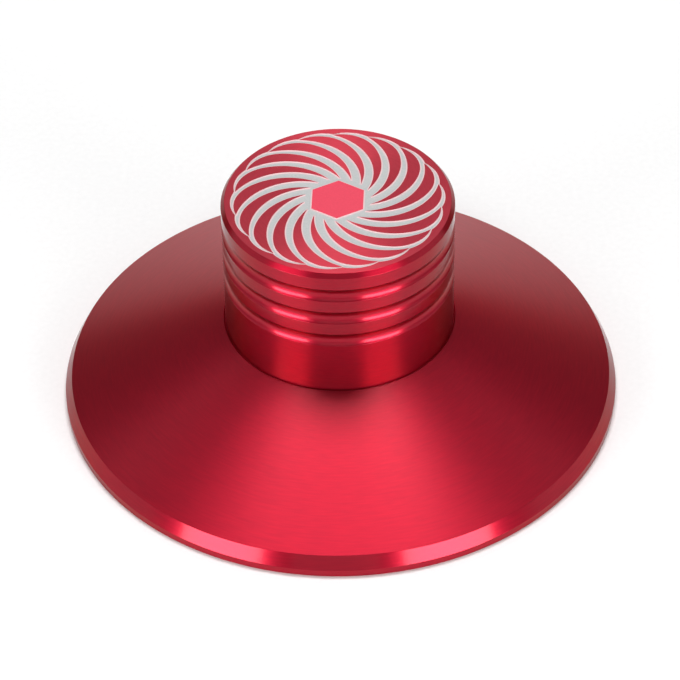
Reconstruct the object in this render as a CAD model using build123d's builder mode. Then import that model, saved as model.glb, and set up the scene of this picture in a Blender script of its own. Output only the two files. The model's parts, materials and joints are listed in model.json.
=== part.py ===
"""Record weight turned from one bar of aluminium: a cone-topped disc that carries a grooved knob.

The axis of turning is Z, and the flat underside that rests on the record label lies at Z = 0.
All sizes are in millimetres and all angles in degrees.
"""

import math
import os

from build123d import *

# Flange: the disc over the label, with a plain rim band, a steep bevel above it and a cone on top
flange_diameter = 80.0
rim_edge_break = 0.2
rim_band_height = 1.25
rim_bevel_width = 1.0
rim_bevel_height = 1.95
cone_height = 10.3

# Knob: the grip that stands on the cone, with round-bottomed finger grooves below its top land
knob_diameter = 32.8
knob_height = 20.9
knob_chamfer_width = 0.52
knob_chamfer_height = 0.65
top_land = 2.0
groove_count = 3
groove_width = 2.15
groove_depth = 0.4
groove_pitch = 4.05

# Spindle bore: a blind drilled hole in the underside that drops over the turntable's spindle
spindle_diameter = 7.15
spindle_clearance = 0.125
bore_depth = 22.0
bore_lead_in = 0.6
drill_point_angle = 118.0

# Rosette: curved arms marked into the knob's top round a plain hexagon. The arms are what is left
# between pointed openings, and their outer ends make the scalloped edge.
arm_count = 18
mark_depth = 0.1
rosette_margin = 0.83
scallop_radius = 5.4
edge_line = 0.15
hexagon_across_corners = 8.3
hexagon_line = 0.5
opening_tip_angle = 7.9
opening_sweep = 41.3
shoulder_inset = 2.1
corner_lead = 5.5
back_bow = 1.53
front_bow = 2.84

# Sizes that follow from those above
flange_radius = flange_diameter / 2
crease_radius = flange_radius - rim_bevel_width
crease_height = rim_band_height + rim_bevel_height
foot_height = crease_height + cone_height
overall_height = foot_height + knob_height

knob_radius = knob_diameter / 2
top_radius = knob_radius - knob_chamfer_width
chamfer_start = overall_height - knob_chamfer_height
groove_radius = (groove_width**2 / 4 + groove_depth**2) / (2 * groove_depth)
groove_axis_radius = knob_radius - groove_depth + groove_radius
first_groove_height = chamfer_start - top_land - groove_width / 2

bore_radius = spindle_diameter / 2 + spindle_clearance
drill_point_height = bore_radius / math.tan(math.radians(drill_point_angle / 2))

arm_pitch = 360 / arm_count
rosette_radius = top_radius - rosette_margin
scallop_axis_radius = rosette_radius - scallop_radius
half_step = math.radians(arm_pitch / 2)
scallop_half_chord = scallop_axis_radius * math.sin(half_step)
cusp_radius = scallop_axis_radius * math.cos(half_step) + math.sqrt(scallop_radius**2 - scallop_half_chord**2)
hexagon_radius = hexagon_across_corners / 2
shoulder_angle = opening_tip_angle + opening_sweep
corner_angle = shoulder_angle + arm_pitch + corner_lead


def polar(radius, angle):
    """Point at a radius and an angle from +X, in the plane of the knob's top."""
    return (radius * math.cos(math.radians(angle)), radius * math.sin(math.radians(angle)))


os.makedirs("parts", exist_ok=True)

# One opening between two arms: a long arc along the back of one arm, a tighter arc on from it under
# the scalloped edge, and a long arc back to the pointed tip along the front of the next arm
with BuildSketch() as opening:
    tip = polar(hexagon_radius + hexagon_line, opening_tip_angle)
    shoulder = polar(rosette_radius - shoulder_inset, shoulder_angle)
    corner = polar(cusp_radius - edge_line, corner_angle)
    with BuildLine():
        back = SagittaArc(tip, shoulder, -back_bow)
        TangentArc(back @ 1, corner, tangent=back % 1)
        SagittaArc(corner, tip, front_bow)
    make_face()

with BuildPart() as weight_body:
    # Half section of the turning, from the axis out along the underside and up over rim, cone and knob
    with BuildSketch(Plane.XZ):
        with BuildLine():
            Polyline(
                (0, 0),
                (flange_radius - rim_edge_break, 0),
                (flange_radius, rim_edge_break),
                (flange_radius, rim_band_height),
                (crease_radius, crease_height),
                (knob_radius, foot_height),
                (knob_radius, chamfer_start),
                (top_radius, overall_height),
                (0, overall_height),
                close=True,
            )
        make_face()
        with Locations(
            *[(groove_axis_radius, first_groove_height - i * groove_pitch) for i in range(groove_count)]
        ):
            Circle(groove_radius, mode=Mode.SUBTRACT)
    revolve(axis=Axis.Z)

    # Half section of the bore: lead-in chamfer, straight wall and the cone that the drill leaves
    with BuildSketch(Plane.XZ):
        with BuildLine():
            Polyline(
                (0, 0),
                (bore_radius + bore_lead_in, 0),
                (bore_radius, bore_lead_in),
                (bore_radius, bore_depth),
                (0, bore_depth + drill_point_height),
                close=True,
            )
        make_face()
    revolve(axis=Axis.Z, mode=Mode.SUBTRACT)

    # Rosette: the scalloped field is sunk by the marking, and the openings and hexagon stay at the top
    with BuildSketch(Plane.XY.offset(overall_height)):
        Circle(scallop_axis_radius)
        with PolarLocations(scallop_axis_radius, arm_count, start_angle=corner_angle + arm_pitch / 2):
            Circle(scallop_radius)
        with PolarLocations(0, arm_count):
            add(opening.sketch, mode=Mode.SUBTRACT)
        RegularPolygon(hexagon_radius, side_count=6, rotation=90, mode=Mode.SUBTRACT)
    extrude(amount=-mark_depth, mode=Mode.SUBTRACT)

weight_body.part.label = "weight_body"
export_step(weight_body.part, "parts/weight_body.step")
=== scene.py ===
import json
import math

import bpy
import numpy as np
from mathutils import Matrix, Vector


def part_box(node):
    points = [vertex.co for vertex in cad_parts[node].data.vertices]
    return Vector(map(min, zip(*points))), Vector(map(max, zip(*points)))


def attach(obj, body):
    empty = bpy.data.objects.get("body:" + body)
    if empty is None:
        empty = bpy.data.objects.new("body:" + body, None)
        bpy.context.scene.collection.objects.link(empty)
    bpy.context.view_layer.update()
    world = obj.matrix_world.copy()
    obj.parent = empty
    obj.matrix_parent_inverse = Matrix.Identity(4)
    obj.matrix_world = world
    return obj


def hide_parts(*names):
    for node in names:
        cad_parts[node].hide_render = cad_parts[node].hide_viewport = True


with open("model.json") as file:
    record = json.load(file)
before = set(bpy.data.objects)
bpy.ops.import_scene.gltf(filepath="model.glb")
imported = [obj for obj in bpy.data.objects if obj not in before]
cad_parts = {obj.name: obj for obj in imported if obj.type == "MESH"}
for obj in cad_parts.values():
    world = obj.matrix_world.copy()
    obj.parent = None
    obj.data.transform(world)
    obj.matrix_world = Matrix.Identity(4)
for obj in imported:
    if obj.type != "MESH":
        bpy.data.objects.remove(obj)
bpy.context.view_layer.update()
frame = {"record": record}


# Turned body
# The weight is one bar of aluminium, turned to a disc with a cone on top and a grooved knob, and
# drilled from below for the turntable's spindle. Each corner has the small radius of a turning tool.
MM = 0.001
_, body_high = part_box("weight_body")
bore = next(m for m in frame["record"]["mounts"] if m["name"] == "spindle_bore")

flange_radius = body_high.x / MM
overall_height = body_high.z / MM
rim_edge_break = 0.2
rim_band_height = 1.25
rim_bevel_width = 1.0
rim_bevel_height = 1.95
foot_height = 13.5
foot_relief = 0.25

knob_radius = 16.4
knob_chamfer_width = 0.52
knob_chamfer_height = 0.65
top_land = 2.0
groove_count = 3
groove_width = 2.15
groove_depth = 0.4
groove_pitch = 4.05
tool_radius = 0.07

bore_radius = bore["dims"]["r_mm"]
bore_depth = 22.0
bore_lead_in = 0.6
drill_point_angle = 118.0

corner_steps = 9


def arc(start, end, bow, share):
    """Circular arc from start to end, at shares 0 to 1 of its turn, with points as complex numbers.

    bow is the arc's height over its chord, positive to the left of the way from start to end. Half the
    turn is twice the angle whose tangent is bow over half the chord. A point lies along the chord by the
    sine of its own angle and beside it by the cosine, less that of half the turn, both as shares of the
    sine of half the turn. The second result is the way of travel, which turns by that angle.
    """
    half_chord = (end - start) / 2
    half_turn = 2 * np.arctan(bow / abs(half_chord))
    angle = (2 * share - 1) * half_turn
    offset = (np.sin(angle) + 1j * (np.cos(angle) - np.cos(half_turn))) / np.sin(half_turn)
    return (start + end) / 2 + half_chord * offset, half_chord / abs(half_chord) * np.exp(-1j * angle)


def rounded_path(corners, radii):
    """Path through corners, given as complex numbers, with an arc of its own radius at each inner one.

    An arc starts and ends at its radius times the tangent of half the corner's turn from the corner.
    """
    corners = np.array(corners)
    way = np.diff(corners) / abs(np.diff(corners))
    turn = np.angle(way[1:] / way[:-1])
    reach = np.array(radii) * np.tan(abs(turn) / 2)
    start = corners[1:-1] - reach * way[:-1]
    end = corners[1:-1] + reach * way[1:]
    bow = -abs(end - start) / 2 * np.tan(turn / 4)
    share = np.linspace(0, 1, corner_steps)
    points, ways = arc(start[:, None], end[:, None], bow[:, None], share[None, :])
    return points.ravel(), ways.ravel()


def turned(path, way, angles):
    """Profile carried round the axis: radius and height of the path at every angle, one column each.

    The normal is the right-hand side of the path. The map holds the angle as a share of the turn, and
    the length of the path up to the point.
    """
    normal = -1j * way
    spin = np.exp(1j * angles)[None, :]
    length = np.concatenate([[0], np.cumsum(abs(np.diff(path)))])
    across = path.real[:, None] * spin
    tilt = normal.real[:, None] * spin
    height = np.broadcast_to(path.imag[:, None], across.shape)
    rise = np.broadcast_to(normal.imag[:, None], across.shape)
    share = np.broadcast_to(angles[None, :] / (2 * np.pi), across.shape)
    travel = np.broadcast_to(length[:, None], across.shape)
    points = np.stack([across.real, across.imag, height], -1)
    normals = np.stack([tilt.real, tilt.imag, rise], -1)
    return points, normals, np.stack([share, travel], -1)


# Section of the turning from the drill's point down the bore, out along the flat underside, and up over
# the rim, the cone and the knob to the edge of its top. A fine relief line is cut at the knob's foot, and
# lip_room shortens each groove's arc to leave space for the radii of its lips.
drill_point = bore_radius / math.tan(math.radians(drill_point_angle / 2))
chamfer_start = overall_height - knob_chamfer_height
groove_half_turn = 2 * math.atan(2 * groove_depth / groove_width)
groove_radius = groove_width / 2 / math.sin(groove_half_turn)
groove_vertex = groove_width / 2 * math.tan(groove_half_turn)
lip_room = 0.96
crease_radius = flange_radius - rim_bevel_width
crease_height = rim_band_height + rim_bevel_height
cone_slope = (foot_height - crease_height) / (crease_radius - knob_radius)
crease_corner = 7

section = [
    (0, bore_depth + drill_point, 0),
    (bore_radius, bore_depth, tool_radius),
    (bore_radius, bore_lead_in, tool_radius),
    (bore_radius + bore_lead_in, 0, tool_radius),
    (flange_radius - rim_edge_break, 0, tool_radius),
    (flange_radius, rim_edge_break, tool_radius),
    (flange_radius, rim_band_height, tool_radius),
    (crease_radius, crease_height, tool_radius),
    (knob_radius + foot_relief, foot_height - foot_relief * cone_slope, tool_radius / 2),
    (knob_radius, foot_height - foot_relief, tool_radius / 2),
]
for groove in reversed(range(groove_count)):
    groove_height = chamfer_start - top_land - groove_width / 2 - groove * groove_pitch
    section += [
        (knob_radius, groove_height - groove_width / 2, tool_radius),
        (knob_radius - groove_vertex, groove_height, groove_radius * lip_room),
        (knob_radius, groove_height + groove_width / 2, tool_radius),
    ]
section += [
    (knob_radius, chamfer_start, tool_radius),
    (knob_radius - knob_chamfer_width, overall_height, tool_radius),
    (0, overall_height, 0),
]

section_corners = [radius + 1j * height for radius, height, _ in section]
section_radii = [rounding for _, _, rounding in section[1:-1]]
path, way = rounded_path(section_corners, section_radii)
path = np.concatenate([section_corners[:1], path])
way = np.concatenate([way[:1], way])

# The columns start at a cusp of the rosette, so that its scallops meet them point for point.
arm_count = 18
columns_per_arm = 16
rosette_start = 74.7
column_angles = np.radians(rosette_start + np.linspace(0, 360, arm_count * columns_per_arm + 1))
cone_start = crease_corner * corner_steps
cone_end = cone_start + 1
turned_patches = [
    turned(path[: cone_start + 1], way[: cone_start + 1], column_angles),
    turned(path[cone_end:], way[cone_end:], column_angles),
]
cone_patches = [turned(path[cone_start : cone_end + 1], way[cone_start : cone_end + 1], column_angles)]


def linear(colour):
    """sRGB hex colour as a linear RGBA value."""
    shares = np.array([int(colour[i : i + 2], 16) for i in (1, 3, 5)]) / 255
    curve = np.where(shares <= 0.04045, shares / 12.92, ((shares + 0.055) / 1.055) ** 2.4)
    return (*curve.tolist(), 1.0)


def add_node(tree, kind, settings, inputs):
    """New node with its settings, and each named input linked to an output socket or set to a value."""
    node = tree.nodes.new(kind)
    for name, value in settings.items():
        setattr(node, name, value)
    for name, value in inputs.items():
        if isinstance(value, bpy.types.NodeSocket):
            tree.links.new(value, node.inputs[name])
        else:
            node.inputs[name].default_value = value
    return node


def new_material(name):
    """Empty node material and its tree."""
    material = bpy.data.materials.new(name)
    material.use_nodes = True
    material.node_tree.nodes.clear()
    return material, material.node_tree


# Red anodised aluminium: the dye lies in a clear oxide over bright metal. The tool's fine rings spread
# each highlight across the turning and leave short strokes a shade lighter or darker, which are drawn
# coarser than real ones. The oxide adds a thin white gloss, and a paler red at glancing angles.
dark_red = "#961229"
light_red = "#B5162D"
edge_red = "#A0616C"
stroke_spacing = 0.26
stroke_breaks = 11
stroke_height = 0.006
ring_stretch = 0.7
quarter_turn = 0.25
oxide_ior = 1.25


def anodised_finish(name, dark, light, roughness, gloss, gloss_roughness):
    """Material of the red metal, with the shades, roughness and gloss that one kind of cut leaves.

    The strokes are noise stretched along the turning. Across it one step is stroke_spacing of the mapped
    path, and around the axis there are stroke_breaks steps in a radian.
    """
    material, tree = new_material(name)
    place = add_node(tree, "ShaderNodeTexCoord", {}, {})
    level = add_node(
        tree, "ShaderNodeVectorMath", {"operation": "MULTIPLY"}, {0: place.outputs["Object"], 1: (1, 1, 0)}
    )
    around = add_node(tree, "ShaderNodeVectorMath", {"operation": "NORMALIZE"}, {0: level.outputs["Vector"]})
    surface = add_node(tree, "ShaderNodeUVMap", {"uv_map": "surface_map"}, {})
    split = add_node(tree, "ShaderNodeSeparateXYZ", {}, {"Vector": surface.outputs["UV"]})
    ring = add_node(
        tree, "ShaderNodeMath", {"operation": "DIVIDE"}, {0: split.outputs["Y"], 1: stroke_spacing}
    )
    across = add_node(tree, "ShaderNodeCombineXYZ", {}, {"Z": ring.outputs["Value"]})
    breaks = (stroke_breaks, stroke_breaks, 0)
    stretched = add_node(
        tree,
        "ShaderNodeVectorMath",
        {"operation": "MULTIPLY_ADD"},
        {0: around.outputs["Vector"], 1: breaks, 2: across.outputs["Vector"]},
    )
    strokes = add_node(
        tree, "ShaderNodeTexNoise", {}, {"Vector": stretched.outputs["Vector"], "Scale": 1.0, "Detail": 2.0}
    )
    shade = add_node(
        tree,
        "ShaderNodeMix",
        {"data_type": "RGBA"},
        {"Factor": strokes.outputs["Fac"], "A": linear(dark), "B": linear(light)},
    )
    relief = add_node(
        tree,
        "ShaderNodeBump",
        {},
        {"Height": strokes.outputs["Fac"], "Distance": stroke_height * MM, "Strength": 1.0},
    )
    across_rings = add_node(tree, "ShaderNodeTangent", {"direction_type": "RADIAL", "axis": "Z"}, {})
    shader = add_node(
        tree,
        "ShaderNodeBsdfPrincipled",
        {},
        {
            "Base Color": shade.outputs["Result"],
            "Metallic": 1.0,
            "Roughness": roughness,
            "Anisotropic": ring_stretch,
            "Anisotropic Rotation": quarter_turn,
            "Tangent": across_rings.outputs["Tangent"],
            "Normal": relief.outputs["Normal"],
            "Coat Weight": gloss,
            "Coat Roughness": gloss_roughness,
            "Coat IOR": oxide_ior,
            "Specular Tint": linear(edge_red),
        },
    )
    add_node(tree, "ShaderNodeOutputMaterial", {}, {"Surface": shader.outputs["BSDF"]})
    return material


fine_turned = anodised_finish(
    "red_anodised_fine_turned_aluminium",
    dark_red,
    light_red,
    roughness=0.32,
    gloss=1.0,
    gloss_roughness=0.12,
)
cone_turned = anodised_finish(
    "red_anodised_turned_aluminium",
    dark_red,
    light_red,
    roughness=0.42,
    gloss=1.0,
    gloss_roughness=0.26,
)


# Top of the knob
# A rosette of curved arms is marked round a plain hexagon. The scalloped edge, the pointed openings
# between the arms and the hexagon keep the red surface, a tenth of a millimetre above the marking.
mark_depth = 0.1
rosette_margin = 0.83
scallop_radius = 5.4
edge_line = 0.15
hexagon_radius = 4.15
hexagon_line = 0.5
opening_tip_angle = 7.9
opening_sweep = 41.3
shoulder_inset = 2.1
back_bow = 1.53
front_bow = 2.84
back_steps = 37
tail_steps = 14
edge_steps = back_steps + tail_steps - 1
arm_steps = 9
margin_steps = 3
ends = np.array([0, 1.0])
top_radius = path[-1].real


def polar(radius, angle):
    """Point of the plan at a radius and an angle in degrees from +X, as a complex number."""
    return radius * np.exp(1j * np.radians(angle))


def flat(plan, height):
    """Level grid at a height. Its map holds the angle as a share of the turn, and the radius."""
    points = np.stack([plan.real, plan.imag, np.full(plan.shape, height)], -1)
    normals = np.broadcast_to([0.0, 0.0, 1.0], points.shape)
    return points, normals, np.stack([np.angle(plan) / (2 * np.pi), abs(plan)], -1)


def between(first, second, shares):
    """Grid of straight lines from each point of one line to the same point of another."""
    return first[None, :] * (1 - shares[:, None]) + second[None, :] * shares[:, None]


arm_pitch = 360 / arm_count
rosette_radius = knob_radius - knob_chamfer_width - rosette_margin
scallop_axis = rosette_radius - scallop_radius
half_pitch = math.radians(arm_pitch / 2)
cusp_reach = math.sqrt(scallop_radius**2 - (scallop_axis * math.sin(half_pitch)) ** 2)
cusp_radius = scallop_axis * math.cos(half_pitch) + cusp_reach
shoulder_angle = opening_tip_angle + opening_sweep

tip = polar(hexagon_radius + hexagon_line, opening_tip_angle)
shoulder = polar(rosette_radius - shoulder_inset, shoulder_angle)
corner = polar(cusp_radius - edge_line, rosette_start)

back, back_way = arc(tip, shoulder, -back_bow, np.linspace(0, 1, back_steps))
tail_half_turn = np.angle(back_way[-1] / (corner - shoulder))
tail_bow = abs(corner - shoulder) / 2 * math.tan(tail_half_turn / 2)
tail, tail_way = arc(shoulder, corner, tail_bow, np.linspace(0, 1, tail_steps))
back_edge = np.concatenate([back, tail[1:]])
back_edge_way = np.concatenate([back_way, tail_way[1:]])
front_edge, front_edge_way = arc(tip, corner, -front_bow, np.linspace(0, 1, edge_steps))
scallop_bow = rosette_radius - cusp_radius * math.cos(half_pitch)
scallop, scallop_way = arc(
    polar(cusp_radius, rosette_start),
    polar(cusp_radius, rosette_start + arm_pitch),
    -scallop_bow,
    np.linspace(0, 1, columns_per_arm + 1),
)

hexagon_corner_share = ((90 - opening_tip_angle) % arm_pitch) / arm_pitch
arm_shares = np.sort(np.append(np.linspace(0, 1, arm_steps), hexagon_corner_share))
ring_angles = np.append(
    (opening_tip_angle + arm_pitch * (np.arange(arm_count)[:, None] + arm_shares[None, :-1])).ravel(),
    opening_tip_angle + 360,
)
hexagon_apothem = hexagon_radius * math.cos(math.radians(30))
hexagon = polar(hexagon_apothem / np.cos(np.radians((ring_angles - 90) % 60 - 30)), ring_angles)

turns = polar(1.0, arm_pitch * np.arange(arm_count))
column_circle = polar(top_radius, np.degrees(column_angles))
scallops = np.append((scallop[None, :-1] * turns[:, None]).ravel(), scallop[0])
scallops_way = np.append((scallop_way[None, :-1] * turns[:, None]).ravel(), scallop_way[0])
margin_plan = between(column_circle, scallops, np.linspace(0, 1, margin_steps))
opening_plan = between(back_edge, front_edge, ends)
top_patches = [flat(margin_plan, overall_height)]
for turn in turns:
    top_patches.append(flat(opening_plan * turn, overall_height))

# Faced aluminium: the top carries less of the oxide's white gloss. Its red is painted paler and pinker, as
# painted sheen in place of that gloss.
# Painted sheen: these two reds are lighter and pinker than the turned metal's, standing in for a whitish
# sheen.
top_red_painted_sheen_dark = "#9F303C"
top_red_painted_sheen_light = "#B43745"
top_finish_with_painted_sheen = anodised_finish(
    "red_anodised_top_with_painted_sheen",
    top_red_painted_sheen_dark,
    top_red_painted_sheen_light,
    roughness=0.42,
    gloss=0.35,
    gloss_roughness=0.26,
)


def make_piece(name, finishes):
    """Mesh of grids, each with its points, normals and map, welded where their points meet.

    finishes pairs each material with its grids. Every grid cell is two triangles. Cells that shrink to a
    line at a pole or a tip are dropped, and a triangle that runs against its normals is turned round.
    """
    patches = [patch for _, group in finishes for patch in group]
    triangles = []
    slots = []
    first = 0
    for slot, (_, group) in enumerate(finishes):
        for points, _, _ in group:
            rows, columns = points.shape[:2]
            cell = np.arange(rows * columns).reshape(rows, columns) + first
            quads = np.stack([cell[:-1, :-1], cell[1:, :-1], cell[1:, 1:], cell[:-1, 1:]], -1).reshape(-1, 4)
            triangles.append(quads[:, [0, 1, 2, 0, 2, 3]].reshape(-1, 3))
            slots.append(np.full(2 * len(quads), slot))
            first += rows * columns
    triangles = np.concatenate(triangles)
    slots = np.concatenate(slots)
    points, normals, maps = (
        np.concatenate([patch[i].reshape(-1, patch[i].shape[-1]) for patch in patches]) for i in range(3)
    )

    _, kept, welded = np.unique(np.round(points, 4), axis=0, return_index=True, return_inverse=True)
    welded = welded.ravel()[triangles]
    whole = (welded != np.roll(welded, 1, axis=1)).all(axis=1)
    triangles, welded, slots = triangles[whole], welded[whole], slots[whole]
    side = np.cross(
        points[triangles[:, 1]] - points[triangles[:, 0]],
        points[triangles[:, 2]] - points[triangles[:, 0]],
    )
    turned_round = (side * normals[triangles].sum(axis=1)).sum(axis=1) < 0
    triangles[turned_round] = triangles[turned_round][:, ::-1]
    welded[turned_round] = welded[turned_round][:, ::-1]

    mesh = bpy.data.meshes.new(name)
    mesh.from_pydata((points[kept] * MM).tolist(), [], welded.tolist())
    surface_map = mesh.uv_layers.new(name="surface_map")
    surface_map.data.foreach_set("uv", maps[triangles].astype(np.float32).ravel())
    mesh.polygons.foreach_set("use_smooth", np.ones(len(triangles), bool))
    mesh.normals_split_custom_set(normals[triangles].reshape(-1, 3))
    for material, _ in finishes:
        mesh.materials.append(material)
    mesh.polygons.foreach_set("material_index", slots.astype(np.int32))
    piece = bpy.data.objects.new(name, mesh)
    bpy.context.scene.collection.objects.link(piece)
    return piece


body_finishes = [(fine_turned, turned_patches), (cone_turned, cone_patches), (top_finish_with_painted_sheen, top_patches)]
body = make_piece("turned_body", body_finishes)
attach(body, "root")
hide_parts("weight_body")


# Hexagon
# The plain field in the middle of the rosette. It is the same red anodised metal, blasted matt before
# the dye, so it scatters light evenly and looks lighter than the cut metal round it.
hexagon_dark = "#D22C49"
hexagon_light = "#E13652"
blast_grain = 0.25


def mottled(tree, dark, light, grain):
    """Colour that wanders between two shades, in patches of a grain size in millimetres."""
    place = add_node(tree, "ShaderNodeTexCoord", {}, {})
    patches = add_node(
        tree,
        "ShaderNodeTexNoise",
        {},
        {"Vector": place.outputs["Object"], "Scale": 1 / (grain * MM), "Detail": 2.0},
    )
    return add_node(
        tree,
        "ShaderNodeMix",
        {"data_type": "RGBA"},
        {"Factor": patches.outputs["Fac"], "A": linear(dark), "B": linear(light)},
    )


# Blasted aluminium: the grit's dents are far smaller than the grain drawn here.
blasted, tree = new_material("red_anodised_blasted_aluminium")
shade = mottled(tree, hexagon_dark, hexagon_light, blast_grain)
shader = add_node(
    tree,
    "ShaderNodeBsdfPrincipled",
    {},
    {"Base Color": shade.outputs["Result"], "Metallic": 0.0, "Roughness": 0.6},
)
add_node(tree, "ShaderNodeOutputMaterial", {}, {"Surface": shader.outputs["BSDF"]})
hexagon_plan = between(hexagon, 0 * hexagon, ends)
hexagon_field = make_piece("hexagon_field", [(blasted, [flat(hexagon_plan, overall_height)])])
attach(hexagon_field, "root")
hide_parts("weight_body")


# Laser-marked rosette
# The laser burns the dye out of the oxide down to pale grey aluminium. It fills the arms with fine
# strokes and goes once more round each edge, which is left brighter, with a trace of the red dye.
mark_dark = "#A5A9A9"
mark_light = "#C0C0C0"
mark_edge = "#D9BFC1"
mark_grain = 0.25
edge_stroke = 0.2
edge_softness = 0.3
ring_steps = 4
mark_floor = overall_height - mark_depth


def marked(plan, inset):
    """Level grid at the floor of the marking. Its map holds the radius and the way in from the edge."""
    points, normals, _ = flat(plan, mark_floor)
    return points, normals, np.stack([abs(plan), inset], -1)


def wall(outline, facing):
    """Upright strip from an outline on the top down to the marking, with its normals along facing."""
    plan = np.stack([outline, outline])
    height = np.full(plan.shape, overall_height)
    height[1] = mark_floor
    side = np.stack([facing, facing]) / abs(facing)
    points = np.stack([plan.real, plan.imag, height], -1)
    normals = np.stack([side.real, side.imag, np.zeros(plan.shape)], -1)
    return points, normals, np.stack([abs(plan), height - overall_height], -1)


# Laser-marked aluminium: burnt oxide scatters light as chalk does. The overlapping strokes of the beam
# leave a fine mottle, drawn a few times coarser than real.
mark, tree = new_material("laser_marked_aluminium")
fill = mottled(tree, mark_dark, mark_light, mark_grain)
surface = add_node(tree, "ShaderNodeUVMap", {"uv_map": "surface_map"}, {})
split = add_node(tree, "ShaderNodeSeparateXYZ", {}, {"Vector": surface.outputs["UV"]})
edge = add_node(
    tree,
    "ShaderNodeMapRange",
    {"interpolation_type": "SMOOTHSTEP"},
    {
        "Value": split.outputs["Y"],
        "From Min": edge_stroke * (1 - edge_softness),
        "From Max": edge_stroke * (1 + edge_softness),
    },
)
shade = add_node(
    tree,
    "ShaderNodeMix",
    {"data_type": "RGBA"},
    {"Factor": edge.outputs["Result"], "A": linear(mark_edge), "B": fill.outputs["Result"]},
)
shader = add_node(
    tree,
    "ShaderNodeBsdfPrincipled",
    {},
    {"Base Color": shade.outputs["Result"], "Metallic": 0.0, "Roughness": 0.7},
)
add_node(tree, "ShaderNodeOutputMaterial", {}, {"Surface": shader.outputs["BSDF"]})

# The floor of an arm is a grid from its left side to its right. The left side runs along the front of an
# opening, out over the cusp and along a scallop. Each of its points has a partner on the back edge of the
# next opening, and that of the cusp lies a little beyond it, so that no cell folds over.
cusp_step = corner + (scallop[0] - corner) * (1 - arm_shares[-2:0:-1])
arm_left = np.concatenate([front_edge, cusp_step, scallop])
cusp_partner = back_steps + 3
partner = np.concatenate(
    [
        np.linspace(0, cusp_partner, edge_steps),
        np.full(len(cusp_step), cusp_partner),
        np.linspace(cusp_partner, edge_steps - 1, columns_per_arm + 1),
    ]
)
arm_right = back_edge[np.rint(partner).astype(int)] * turns[1]
arm_plan = between(arm_left, arm_right, arm_shares)
arm_inset = abs(arm_right - arm_left)[None, :] * np.minimum(arm_shares, 1 - arm_shares)[:, None]
mark_patches = [marked(arm_plan * turn, arm_inset) for turn in turns]
tip_chord = (tip * (1 - arm_shares[:-1]) + tip * turns[1] * arm_shares[:-1])[None, :] * turns[:, None]
tip_ring = np.append(tip_chord.ravel(), tip)
ring_plan = between(hexagon, tip_ring, np.linspace(0, 1, ring_steps))
mark_patches.append(marked(ring_plan, abs(ring_plan - hexagon[None, :])))
mark_patches.append(wall(scallops, 1j * scallops_way))
mark_patches.append(wall(hexagon, hexagon))
for turn in turns:
    mark_patches.append(wall(back_edge * turn, -1j * back_edge_way * turn))
    mark_patches.append(wall(front_edge * turn, 1j * front_edge_way * turn))
rosette = make_piece("laser_rosette", [(mark, mark_patches)])
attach(rosette, "root")
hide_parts("weight_body")


# Studio
# A plain floor of white paper. The light is a strip softbox overhead, two large softboxes in front
# beside the lens, and dim panels all round that fill the dark sides of the metal.
paper_dark = "#ECECEC"
paper_light = "#F4F4F4"
paper_grain = 0.8
floor_half_size = 1.5
room_light = 0.2

# Matt paper: its fibres scatter light evenly. Their faint mottle is drawn coarser than real.
paper, tree = new_material("matt_paper")
fibres = mottled(tree, paper_dark, paper_light, paper_grain)
shader = add_node(
    tree, "ShaderNodeBsdfPrincipled", {}, {"Base Color": fibres.outputs["Result"], "Roughness": 0.9}
)
add_node(tree, "ShaderNodeOutputMaterial", {}, {"Surface": shader.outputs["BSDF"]})
mesh = bpy.data.meshes.new("floor")
corners = ((-1, -1), (1, -1), (1, 1), (-1, 1))
mesh.from_pydata([(x * floor_half_size, y * floor_half_size, 0) for x, y in corners], [], [(0, 1, 2, 3)])
mesh.materials.append(paper)
floor = bpy.data.objects.new("floor", mesh)
bpy.context.scene.collection.objects.link(floor)


def softbox(name, azimuth, elevation, distance, width, height, radiance):
    """Rectangular soft light that faces the object, with its angles in degrees and lengths in metres.

    The azimuth is counted from the lens's side. The power is radiance times the area, times pi.
    """
    light = bpy.data.lights.new(name, "AREA")
    light.shape = "RECTANGLE"
    light.size = width
    light.size_y = height
    light.energy = radiance * math.pi * width * height
    lamp = bpy.data.objects.new(name, light)
    bpy.context.scene.collection.objects.link(lamp)
    turn = math.radians(azimuth)
    rise = math.radians(elevation)
    place = Vector((math.sin(turn) * math.cos(rise), -math.cos(turn) * math.cos(rise), math.sin(rise)))
    lamp.location = place * distance
    lamp.rotation_euler = place.to_track_quat("Z", "Y").to_euler()


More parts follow.
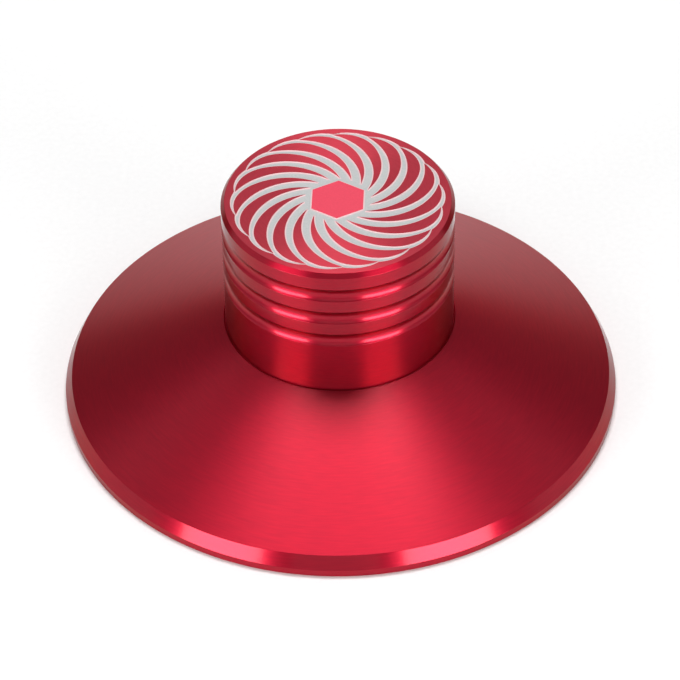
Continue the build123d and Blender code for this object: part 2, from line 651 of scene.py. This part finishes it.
softbox("overhead", 180, 80, 0.8, 0.47, 0.24, 11.4)
softbox("upper_back", 180, 43, 0.8, 0.4, 0.3, 1.7)
softbox("front_fill", 0, 22, 0.9, 0.5, 0.46, 0.75)
softbox("front_left", -41.5, 11.5, 0.8, 0.43, 0.34, 10.0)
softbox("front_right", 40.5, 11.5, 0.8, 0.47, 0.34, 10.0)
softbox("back_panel", 180, 7, 1.0, 1.4, 0.3, 0.95)
softbox("side_left", -86, 20, 0.8, 0.75, 0.26, 0.65)
softbox("side_right", 86, 20, 0.8, 0.75, 0.26, 0.65)
softbox("high_left", -101, 41, 0.8, 0.4, 0.3, 0.65)
softbox("high_right", 101, 41, 0.8, 0.4, 0.3, 0.65)

world = bpy.data.worlds.new("studio")
world.use_nodes = True
world.node_tree.nodes["Background"].inputs["Color"].default_value = (1.0, 1.0, 1.0, 1.0)
world.node_tree.nodes["Background"].inputs["Strength"].default_value = room_light
bpy.context.scene.world = world
bpy.context.scene.view_settings.view_transform = "Standard"


# Camera
# The photograph's view, found by a fit to the edges of the disc and the knob. It looks down on the
# knob's front from about half a metre, through a long lens. Lengths are in millimetres.
lens = 187.85
sensor = 36.0
eye_distance = 517.99
eye_elevation = math.radians(42.331)
eye_turn = math.radians(2.67)
aim_height = 8.125
roll = math.radians(-0.923)

eye = Vector((
    eye_distance * math.cos(eye_elevation) * math.sin(eye_turn),
    -eye_distance * math.cos(eye_elevation) * math.cos(eye_turn),
    eye_distance * math.sin(eye_elevation),
))
forward = (Vector((0, 0, aim_height)) - eye).normalized()
right = forward.cross(Vector((0, 0, 1))).normalized()
up = right.cross(forward)
across_view = right * math.cos(roll) + up * math.sin(roll)
up_view = up * math.cos(roll) - right * math.sin(roll)
camera_data = bpy.data.cameras.new("camera")
camera_data.lens = lens
camera_data.sensor_width = sensor
camera_data.clip_start = 0.01
camera = bpy.data.objects.new("camera", camera_data)
bpy.context.scene.collection.objects.link(camera)
axes = Matrix((across_view, up_view, -forward)).transposed().to_4x4()
camera.matrix_world = Matrix.Translation(eye * MM) @ axes
bpy.context.scene.camera = camera
